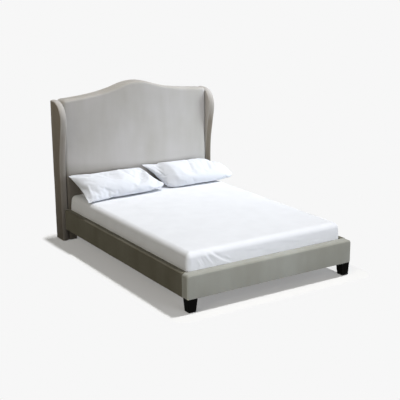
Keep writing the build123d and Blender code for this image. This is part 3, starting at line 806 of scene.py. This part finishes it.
def mattressShape(name, inset, make, closed):
    low, high = box("fitted_sheet")
    half = (high - low) / 2 - inset
    centre = (high + low) / 2
    corner = make["corner"] - inset
    arc = cornerArc((half[0] - corner, half[1] - corner), corner, 90, 0, 20)
    middle = len(arc) // 2
    topRight, rightTop = arc[:middle + 1], arc[middle:]
    top = np.concatenate([topRight[::-1] * (-1, 1), topRight])
    right = np.concatenate([rightTop * (1, -1), rightTop[::-1]])
    across = edgeSteps(2 * half[0], make["roll"], make["spacing"])
    if not closed:
        # finer in the left half, where the creases are
        fine = make["fineStep"] / (2 * half[0])
        parts = [np.linspace(here, there, max(1, math.ceil((there - here) / fine)) + 1)
                 for here, there in zip(across[:-1], across[1:]) if here < 0.5]
        across = np.unique(np.concatenate([*parts, across]).round(9))
    up = edgeSteps(2 * half[1], make["roll"], make["rowStretch"] * make["spacing"])
    grid = patch(top * (1, -1), top, right * (-1, 1), right, across, up)
    flat = grid.reshape(-1, 2)
    outline = np.concatenate([overTop(right, top), (top * (1, -1))[::-1][1:]])
    distance = distanceTo(outline, flat)
    roof = high[2] - inset + make["crown"] * (1 - np.exp(-distance / make["crownReach"])) - make["crown"]
    height = roof - roll(distance, make["roll"])
    number = numbered(*grid.shape[:2])
    rim = rimOf(number)
    ring, outward = flat[rim], outwardOf(flat[rim])
    layers = [np.column_stack([flat, height])]
    wallTop, wallBottom = height[rim], low[2] + make["underRoll"]
    for share in np.linspace(0, 1, make["wallSteps"])[1:]:
        out = ring + outward * make["sideBulge"] * 4 * share * (1 - share)
        layers.append(np.column_stack([out, wallTop * (1 - share) + wallBottom * share]))
    for angle in np.radians(np.linspace(0, 90, make["underSteps"])[1:]):
        out = ring - outward * make["underRoll"] * (1 - math.cos(angle))
        level = wallBottom - make["underRoll"] * math.sin(angle)
        layers.append(np.column_stack([out, np.full(len(ring), level)]))
    loops = [rim, *numbered(len(layers) - 1, len(rim), number.size)]
    faces = [quads(number)]
    if closed:
        start = sum(map(len, layers))
        inner = flat * (1 - make["underRoll"] / half[:2])
        layers.append(np.column_stack([inner, np.full(len(flat), low[2])]))
        faces.append(quads(number[:, ::-1] + start))
        loops.append(rim + start)
    faces += bands(loops)
    points = np.concatenate(layers)
    points[:, :2] += centre[:2]
    mesh = makeMesh(name, points, np.concatenate(faces))
    weld(mesh)
    return mesh


def crease(mesh, creases, gather):
    # Strokes pressed into the foot side, and the elastic hem's gathers near the four corners
    points = pointsOf(mesh)
    low, high = points.min(0), points.max(0)
    face = points[:, [0, 2]]
    onFoot = ramp(low[1] + gather["footDepth"] - points[:, 1], gather["footFade"])
    amounts = np.zeros(len(points))
    # each stroke eases off over its ends
    for depth, width, *places in creases:
        line = np.array(places)
        start, end = (np.linalg.norm(face - place, axis=1) for place in (line[0], line[-1]))
        eased = np.clip(np.minimum(start, end) / (2.5 * width), 0.15, 1)
        amounts += depth * onFoot * eased * np.exp(-(distanceTo(line, face) / width) ** 2)
    below = np.exp(-np.clip(points[:, 2] - gather["top"], 0, None) / gather["fade"])
    fromEdge = np.minimum(points - low, high - points)
    nearCorner = np.clip(1 - fromEdge[:, :2] / gather["reach"], 0, 1).min(1)
    along = points[:, 0] + points[:, 1]
    waves = seededRipple(np.column_stack([along, 0 * along, 0 * along]), gather["wave"], 77)
    amounts += gather["height"] * below * nearCorner ** 0.5 * waves
    pushOut(mesh, amounts)


def thicken(piece, thickness):
    solid = piece.modifiers.new("thickness", "SOLIDIFY")
    solid.thickness, solid.offset = thickness, -1


sheetMesh = mattressShape("fitted_sheet", 0, sheetMake, False)
settle(sheetMesh, 41, sheetMake["ripples"])
crease(sheetMesh, creaseMake, gatherMake)
sheet = addPiece("fitted_sheet_cloth", sheetMesh, "mattress", "sheet_cotton", ["fitted_sheet"])
thicken(sheet, sheetMake["thickness"])
mattressMesh = mattressShape("mattress_shape", sheetMake["mattressInset"], sheetMake, True)
addPiece("mattress_padding", mattressMesh, "mattress", "mattress", ["mattress_core"])
print("mattress and sheet made")


# Pillows: each case starts as a lens on its seam lines, with spare cloth near the seams, and fills
# out against the sheet and the headboard

pillowMake = {
    "left": {
        "seed": 5, "ends": (1, 0.8), "lean": 0,
        "front": [(0, -0.684, 0.540, 0.414), (0.12, -0.585, 0.560, 0.416), (0.32, -0.43, 0.575, 0.420),
                  (0.55, -0.25, 0.578, 0.422), (0.76, -0.085, 0.582, 0.426), (0.92, 0.035, 0.598, 0.440),
                  (1, 0.084, 0.630, 0.462)],
        "rear": [(0, -0.692, 0.914, 0.570), (0.3, -0.48, 0.912, 0.569), (0.7, -0.2, 0.912, 0.569),
                 (0.9, -0.07, 0.912, 0.563), (1, -0.016, 0.908, 0.555)],
        "fullness": [(0, 0), (0.03, 0.3), (0.07, 0.7), (0.11, 0.93), (0.2, 1), (0.55, 1), (0.76, 0.97),
                     (0.9, 0.8), (0.96, 0.45), (1, 0)],
    },
    "right": {
        "seed": 14, "ends": (1, 0), "lean": 0.1,
        "front": [(0, 0.128, 0.640, 0.414), (0.12, 0.21, 0.600, 0.416), (0.3, 0.33, 0.588, 0.420),
                  (0.55, 0.5, 0.585, 0.422), (0.78, 0.65, 0.584, 0.426), (0.93, 0.755, 0.6, 0.434),
                  (1, 0.8, 0.65, 0.456)],
        "rear": [(0, 0.012, 0.914, 0.577), (0.3, 0.22, 0.912, 0.575), (0.7, 0.49, 0.912, 0.569),
                 (0.88, 0.6, 0.908, 0.562), (1, 0.69, 0.86, 0.522)],
        "fullness": [(0, 0), (0.04, 0.03), (0.08, 0.16), (0.12, 0.55), (0.16, 1.06), (0.28, 1.06), (0.72, 1),
                     (0.88, 0.98), (0.95, 0.9), (0.985, 0.7), (1, 0.2)],
    },
}
caseMake = {
    "columns": 68, "rows": 42, "crown": 66 * mm, "belly": 48 * mm, "swell": 0.75, "bow": 22 * mm,
    "bowReach": 0.2, "clear": 3.5 * mm, "sheetGap": 4.5 * mm, "panelGap": 9 * mm, "panelPuff": 4 * mm,
    "ripples": ((0.16, 2.5 * mm), (0.07, 1.6 * mm), (0.035, 0.7 * mm)), "fillingInset": 5 * mm,
    "flat": (0.76, 0.46), "slackInside": -0.035, "slackSeam": -0.16, "slackReach": 75 * mm,
    "seamHold": 0.4, "frames": 24, "quality": 6, "hits": 3, "pressure": 100, "massPerPoint": 0.3,
    "stiffness": 25, "shear": 10, "bending": 0.25, "gravity": 0.1, "friction": 10, "hemColumns": 5,
    "hemRise": 0.2 * mm, "volume": 0.0225,
}


def softLine(stops, shares):
    # Line through stops (share, x, y, z), with its corners eased
    stops, fine = np.array(stops), np.linspace(0, 1, 201)
    line = np.stack([np.interp(fine, stops[:, 0], stops[:, axis]) for axis in (1, 2, 3)], axis=1)
    reach = 12
    weight = np.hanning(2 * reach + 1) / reach
    longer = np.concatenate([2 * line[:1] - line[reach:0:-1], line,
                             2 * line[-1:] - line[-2:-reach - 2:-1]])
    eased = np.stack([np.convolve(longer[:, axis], weight, "valid") for axis in range(3)], axis=1)
    eased[[0, -1]] = line[[0, -1]]
    return np.stack([np.interp(shares, fine, eased[:, axis]) for axis in range(3)], axis=1)


def envelope(name, top, under):
    # Two layers over one grid, joined at their border
    rows, columns = top.shape[:2]
    number = numbered(rows, columns)
    beneath = number.copy()
    beneath[1:-1, 1:-1] = numbered(rows - 2, columns - 2, number.size)
    points = np.concatenate([top.reshape(-1, 3), under[1:-1, 1:-1].reshape(-1, 3)])
    mesh = makeMesh(name, points, np.concatenate([quads(number), quads(beneath[:, ::-1])]))
    mesh.shade_smooth()
    return mesh, number, beneath


def caseStart(look, make):
    # The case's two layers before it is filled, and how much spare cloth it has at each place
    u, v = np.linspace(0, 1, make["columns"] + 1), np.linspace(0, 1, make["rows"] + 1)
    front, rear = softLine(look["front"], u), softLine(look["rear"], u)
    along = rear[-1] - rear[0] + front[-1] - front[0]
    along /= np.linalg.norm(along)
    leftEnd, rightEnd = (np.clip(1 - share / make["bowReach"], 0, 1) * end
                         for share, end in zip((u, 1 - u), look["ends"]))
    drawnIn = np.outer(make["bow"] * 4 * v * (1 - v), leftEnd - rightEnd)
    seam = front[None] * (1 - v[:, None, None]) + rear[None] * v[:, None, None]
    seam = seam + drawnIn[..., None] * along
    normal = np.cross([1, 0, 0], rear - front)
    normal /= np.linalg.norm(normal, axis=1)[:, None]
    leaning = u[None] - look["lean"] * v[:, None] * (1 - u[None])
    full = np.interp(leaning, *np.array(look["fullness"]).T)
    full = (np.sin(math.pi * v)[:, None] ** make["swell"] * full)[..., None]
    where = np.stack(np.broadcast_arrays(u[None] * make["flat"][0], v[:, None] * make["flat"][1],
                                         0 * full[..., 0]), -1).reshape(-1, 3)
    layers = []
    # upper layer, then under layer, each with its own ripples
    for way, depth in ((1, make["crown"]), (-1, make["belly"])):
        waves = sum(height * seededRipple(where, size, look["seed"] + step + 9 * (way < 0))
                    for step, (size, height) in enumerate(make["ripples"]))
        waves = waves.reshape(full.shape) * np.minimum(1, 2 * full)
        waves[[0, -1]] = waves[:, [0, -1]] = 0
        layers.append(seam + normal[None] * (way * (full * depth + waves)))
    top, under = layers
    under[..., 2] = np.maximum(under[..., 2], box("fitted_sheet")[1][2] + make["sheetGap"])
    for layer in layers:
        layer[..., 1] = np.minimum(layer[..., 1], box("headboard_cover")[0][1] - make["panelGap"])
    edge = np.minimum(np.minimum(v, 1 - v)[:, None] * make["flat"][1],
                      np.minimum(u, 1 - u)[None] * make["flat"][0])
    return top, under, np.exp(-(edge / make["slackReach"]) ** 2)


def restingPlanes(make):
    # The top of the sheet and the front of the headboard, as blocks that the cloth lands on
    planes = []
    sheetTop, panelFront = box("fitted_sheet")[1][2], box("headboard_cover")[0][1] - make["panelPuff"]
    for low, high in (((-1.2, -1.2, sheetTop - 0.15), (1.2, 1.1, sheetTop)),
                      ((-1.2, panelFront, 0.1), (1.2, panelFront + 0.2, 1.4))):
        mesh = bpy.data.meshes.new("resting_plane")
        reshape(mesh, lambda shape: bmesh.ops.create_cube(shape, size=1))
        block = linked("resting_plane", mesh)
        block.location = (np.array(low) + high) / 2
        block.scale = np.array(high) - low
        block.modifiers.new("collision", "COLLISION")
        block.collision.thickness_outer = make["clear"]
        block.collision.cloth_friction = make["friction"]
        planes.append(block)
    return planes


def fillOut(mesh, number, slack, look, make):
    # Cloth simulation of one case: tips held, seams held softly, filled to the pillow's volume
    case = linked("case", mesh)
    hold = {}
    for share, line in ((1, number[0]), (1, number[-1]), (look["ends"][0], number[1:-1, 0]),
                        (look["ends"][1], number[1:-1, -1])):
        hold.update({int(point): make["seamHold"] * share for point in line})
    hold.update({int(number[row, column]): 1.0 for row in (0, -1) for column in (0, -1)})
    for name, weights in (("hold", hold), ("slack", dict(enumerate(slack)))):
        group = case.vertex_groups.new(name=name)
        for point, weight in weights.items():
            group.add([point], float(weight), "REPLACE")
    cloth = case.modifiers.new("cloth", "CLOTH")
    values = {
        "quality": make["quality"], "mass": make["massPerPoint"], "air_damping": 1,
        "tension_stiffness": make["stiffness"], "compression_stiffness": make["stiffness"],
        "shear_stiffness": make["shear"], "bending_stiffness": make["bending"],
        "vertex_group_mass": "hold", "pin_stiffness": 1, "vertex_group_shrink": "slack",
        "shrink_min": make["slackInside"], "shrink_max": make["slackSeam"], "use_pressure": True,
        "use_pressure_volume": True, "target_volume": make["volume"], "uniform_pressure_force": 0,
        "pressure_factor": make["pressure"],
    }
    for name, value in values.items():
        setattr(cloth.settings, name, value)
    cloth.settings.effector_weights.gravity = make["gravity"]
    cloth.collision_settings.distance_min = make["clear"]
    cloth.collision_settings.collision_quality = make["hits"]
    cloth.point_cache.frame_end = make["frames"]
    for step in range(1, make["frames"] + 1):
        bpy.context.scene.frame_set(step)
    graph = bpy.context.evaluated_depsgraph_get()
    filled = bpy.data.meshes.new_from_object(case.evaluated_get(graph))
    bpy.data.objects.remove(case)
    bpy.context.scene.frame_set(1)
    return filled


def makePillow(side, look, make):
    top, under, slack = caseStart(look, make)
    mesh, number, beneath = envelope(f"pillow_case_{side}", top, under)
    mesh = fillOut(mesh, number, np.concatenate([slack.ravel(), slack[1:-1, 1:-1].ravel()]),
                   look, make)
    points = pointsOf(mesh)
    # the filling follows the case from inside, and ends two rows before its seams
    top, under = points[number][2:-2, 2:-2], points[beneath][2:-2, 2:-2]
    middle, reach = (top + under) / 2, (top - under) / 2
    thick = np.linalg.norm(reach, axis=2, keepdims=True)
    reach = reach * np.clip(1 - make["fillingInset"] / thick, 0, 1)
    reach[[0, -1]] = reach[:, [0, -1]] = 0
    filling = envelope(f"pillow_filling_{side}", middle + reach, middle - reach)[0]
    addPiece(filling.name, filling, f"{side}_pillow", "pillow_filling", [f"pillow_{side}"])
    mesh.name = f"pillow_case_{side}"
    case = addPiece(f"pillow_case_{side}", mesh, f"{side}_pillow", "pillowcase_cotton",
                    [f"pillowcase_{side}"])
    smooth = case.modifiers.new("smooth", "SUBSURF")
    smooth.levels = smooth.render_levels = 1
    # the hem's line of stitches, on the smoothed cloth
    shown = case.evaluated_get(bpy.context.evaluated_depsgraph_get())
    column = make["columns"] - make["hemColumns"]
    loop = np.concatenate([number[:, column], beneath[-2:0:-1, column]])
    hits = [shown.closest_point_on_mesh(Vector(point)) for point in points[loop]]
    return np.array([place + normal * make["hemRise"] for found, place, normal, face in hits])


planes = restingPlanes(caseMake)
hemPaths = {side: makePillow(side, look, caseMake) for side, look in pillowMake.items()}
for block in planes:
    bpy.data.objects.remove(block)
print("pillows made")


# Staples and stitches: equal small parts along paths, made by one geometry node tree

pathMake = {
    "staple": {"Spacing": 65 * mm, "Part Size": (11 * mm, 1.2 * mm, 1.2 * mm), "Turn": 0.09, "Seed": 3},
    "stitch": {"Spacing": 5.5 * mm, "Part Size": (3.8 * mm, 0.8 * mm, 0.8 * mm), "Turn": 0.05, "Seed": 7},
}


def alongPath(name, line, look, kind, material):
    # The line is a closed loop of points; kind is the node that makes one part, 1 m in size
    edges = [(k, (k + 1) % len(line)) for k in range(len(line))]
    guide = bpy.data.meshes.new(name)
    guide.from_pydata([tuple(point) for point in line], edges, [])
    host = linked(name, guide)
    tree = NodeTree(bpy.data.node_groups.new(name, "GeometryNodeTree"))
    sockets = {}
    for title, sort in (("Path", "Geometry"), ("Spacing", "Float"), ("Part Size", "Vector"),
                        ("Turn", "Float"), ("Seed", "Int")):
        sockets[title] = tree.tree.interface.new_socket(
            title, in_out="INPUT", socket_type=f"NodeSocket{sort}")
    tree.tree.interface.new_socket("Parts", in_out="OUTPUT", socket_type="NodeSocketGeometry")
    path, spacing, size, turn, seed = tree.node("NodeGroupInput")[:5]
    curve = tree.node("GeometryNodeMeshToCurve", {}, {0: path})[0]
    even = tree.node("GeometryNodeResampleCurve", {"mode": "LENGTH"}, {
        "Curve": curve, "Length": spacing})[0]
    along = tree.node("GeometryNodeInputTangent")[0]
    aligned = tree.node("FunctionNodeAlignRotationToVector", {"axis": "X"}, {"Vector": along})[0]
    loose = tree.node("FunctionNodeRandomValue", {"data_type": "FLOAT"}, {
        2: turn * -1.0, 3: turn, 8: seed})[1]
    angles = tree.node("ShaderNodeCombineXYZ", {}, {1: loose, 2: loose})[0]
    spin = tree.node("FunctionNodeEulerToRotation", {}, {0: angles})[0]
    facing = tree.node("FunctionNodeRotateRotation", {"rotation_space": "LOCAL"}, {
        0: aligned, 1: spin})[0]
    whole = tree.node("GeometryNodeTransform", {}, {"Geometry": tree.node(kind)[0], "Scale": size})[0]
    placed = tree.node("GeometryNodeInstanceOnPoints", {}, {
        "Points": even, "Instance": whole, "Rotation": facing})[0]
    real = tree.node("GeometryNodeRealizeInstances", {}, {0: placed})[0]
    coated = tree.node("GeometryNodeSetMaterial", {}, {"Geometry": real, "Material": material})[0]
    tree.node("NodeGroupOutput", {}, {0: coated})
    maker = host.modifiers.new(name, "NODES")
    maker.node_group = tree.tree
    for title, value in look.items():
        maker[sockets[title].identifier] = value
    graph = bpy.context.evaluated_depsgraph_get()
    made = bpy.data.meshes.new_from_object(host.evaluated_get(graph))
    made.name = name
    host.modifiers.remove(maker)
    bpy.data.objects.remove(host)
    return made


dustMake = {"inset": 14 * mm, "thickness": 0.6 * mm, "slack": 0.25 * mm, "slackSize": 0.2,
            "stapleInset": 9 * mm, "stapleOut": 0.2 * mm, "flat": (1.366, 1.187), "area": 1.53}


def makeDustCloth(make):
    low, high = box("headboard_back_cloth")
    grid = panelGrid(high[0], low[2], high[2], make["inset"], headboardMake)[0]
    flat = grid.reshape(-1, 2)
    number = numbered(*grid.shape[:2])
    points = np.column_stack([flat[:, 0], np.full(len(flat), high[1] - make["slack"]), flat[:, 1]])
    points[:, 1] += make["slack"] * seededRipple(points, make["slackSize"], 51)
    mesh = makeMesh("dust_cloth", points, quads(number[:, ::-1]))
    weld(mesh)
    cloth = addPiece("dust_cloth", mesh, "bed_frame", "back_cloth", ["headboard_back_cloth"])
    thicken(cloth, make["thickness"])
    rim = flat[rimOf(number)]
    line = rim - outwardOf(rim) * make["stapleInset"]
    path = np.column_stack([line[:, 0], np.full(len(line), high[1] + make["stapleOut"]), line[:, 1]])
    staples = alongPath("staples", path, pathMake["staple"], "GeometryNodeMeshCube",
                        materials["zinc_steel"])
    addPiece("staples", staples, "bed_frame", "zinc_steel")


makeDustCloth(dustMake)
for word, path in hemPaths.items():
    stitches = alongPath(f"hem_stitches_{word}", path, pathMake["stitch"], "GeometryNodeMeshIcoSphere",
                         materials["pillowcase_cotton"])
    addPiece(f"hem_stitches_{word}", stitches, f"{word}_pillow", "pillowcase_cotton")
print("dust cloth, staples and stitches made")


# Floor, backdrop and light

stageLook = {"size": 300, "white": 0.93, "lit": 0.84, "bounce": 0.22,
             "lift": 0.22, "near": 0.085, "far": 0.14}
sunLooks = {
    "key": {"from": (0.41, -0.03, 0.91), "strength": 2.8, "spread": 6, "tint": (1, 1, 1)},
    "left": {"from": (-0.85, -0.25, 0.5), "strength": 0.9, "spread": 50, "tint": (1, 0.93, 0.77)},
}
areaLooks = {
    "right": {"at": (2.4, -0.2, 1.0), "towards": (0.3, 0.9, 0.8), "size": 1.2, "power": 15.5, "spread": 110,
              "tint": (0.87, 0.945, 1)},
    "front": {"at": (-0.2, -4.4, 0.8), "towards": (0, 0, 0.3), "size": 2.0, "power": 79, "spread": 180,
              "tint": (0.935, 0.96, 1)},
}
worldLook = {"sky": 0.05, "low": 0.03, "white": 0.93}


def seenPlainly(tree):
    # 1 for camera, glossy and transmission rays
    seen = tree.node("ShaderNodeLightPath")
    return tree.node("ShaderNodeClamp", {}, {"Value": seen[0] + seen[3] + seen[6]})[0]


def makeStage(look, frameBox):
    # Far from the bed the floor glows evenly; near it the floor is lit and keeps the shadow
    tree = ShaderTree("floor")
    shown = seenPlainly(tree)
    along = tree.node("ShaderNodeSeparateXYZ", {}, {0: tree.place()})
    beyond = [(along[axis].maths("ABSOLUTE") - float(frameBox[1][axis])).maths("MAXIMUM")
              for axis in range(2)]
    distance = (beyond[0] ** 2 + beyond[1] ** 2) ** 0.5
    evenly = tree.ranged(distance, look["near"], look["far"], look["lift"], 1, "SMOOTHSTEP")
    base = tree.mix(shown, grey(look["bounce"]), grey(look["lit"]))
    lit = tree.node("ShaderNodeBsdfDiffuse", {}, {"Color": base})[0]
    glow = tree.node("ShaderNodeEmission", {}, {"Color": grey(look["white"]), "Strength": 1})[0]
    mixed = tree.node("ShaderNodeMixShader", {}, {0: shown * evenly, 1: lit, 2: glow})[0]
    tree.node("ShaderNodeOutputMaterial", {}, {"Surface": mixed})
    half = look["size"] / 2
    mesh = makeMesh("floor", [(-half, -half, 0), (half, -half, 0), (half, half, 0), (-half, half, 0)],
                    [(0, 1, 2, 3)])
    mesh.materials.append(tree.material)
    linked("floor", mesh)


def addLamp(name, kind, look, way, settings):
    # The lamp shines against the way it is given
    data = bpy.data.lights.new(name, kind)
    data.color = look["tint"]
    for key, value in settings.items():
        setattr(data, key, value)
    lamp = linked(name, data)
    lamp.visible_camera = False
    lamp.rotation_euler = way.to_track_quat("Z", "Y").to_euler()
    return lamp


def makeLights(suns, areas):
    for name, look in suns.items():
        addLamp(name, "SUN", look, Vector(look["from"]),
                {"energy": look["strength"], "angle": math.radians(look["spread"])})
    for name, look in areas.items():
        area = addLamp(name, "AREA", look, Vector(look["at"]) - Vector(look["towards"]),
                       {"energy": look["power"], "size": look["size"],
                        "spread": math.radians(look["spread"])})
        area.location = look["at"]


def makeWorld(look):
    world = bpy.data.worlds.new("studio")
    bpy.context.scene.world = world
    tree = ShaderTree(world)
    up = tree.node("ShaderNodeSeparateXYZ", {}, {0: tree.node("ShaderNodeTexCoord")[0]})[2]
    sky = tree.mix(tree.ranged(up, 0, 0.9), grey(look["low"]), grey(look["sky"]))
    shade = tree.mix(seenPlainly(tree), sky, grey(look["white"]))
    background = tree.node("ShaderNodeBackground", {}, {"Color": shade, "Strength": 1})[0]
    tree.node("ShaderNodeOutputWorld", {}, {"Surface": background})


makeStage(stageLook, cadBox)
makeLights(sunLooks, areaLooks)
makeWorld(worldLook)
bpy.context.scene.view_settings.view_transform = "Standard"
print("stage and light made")
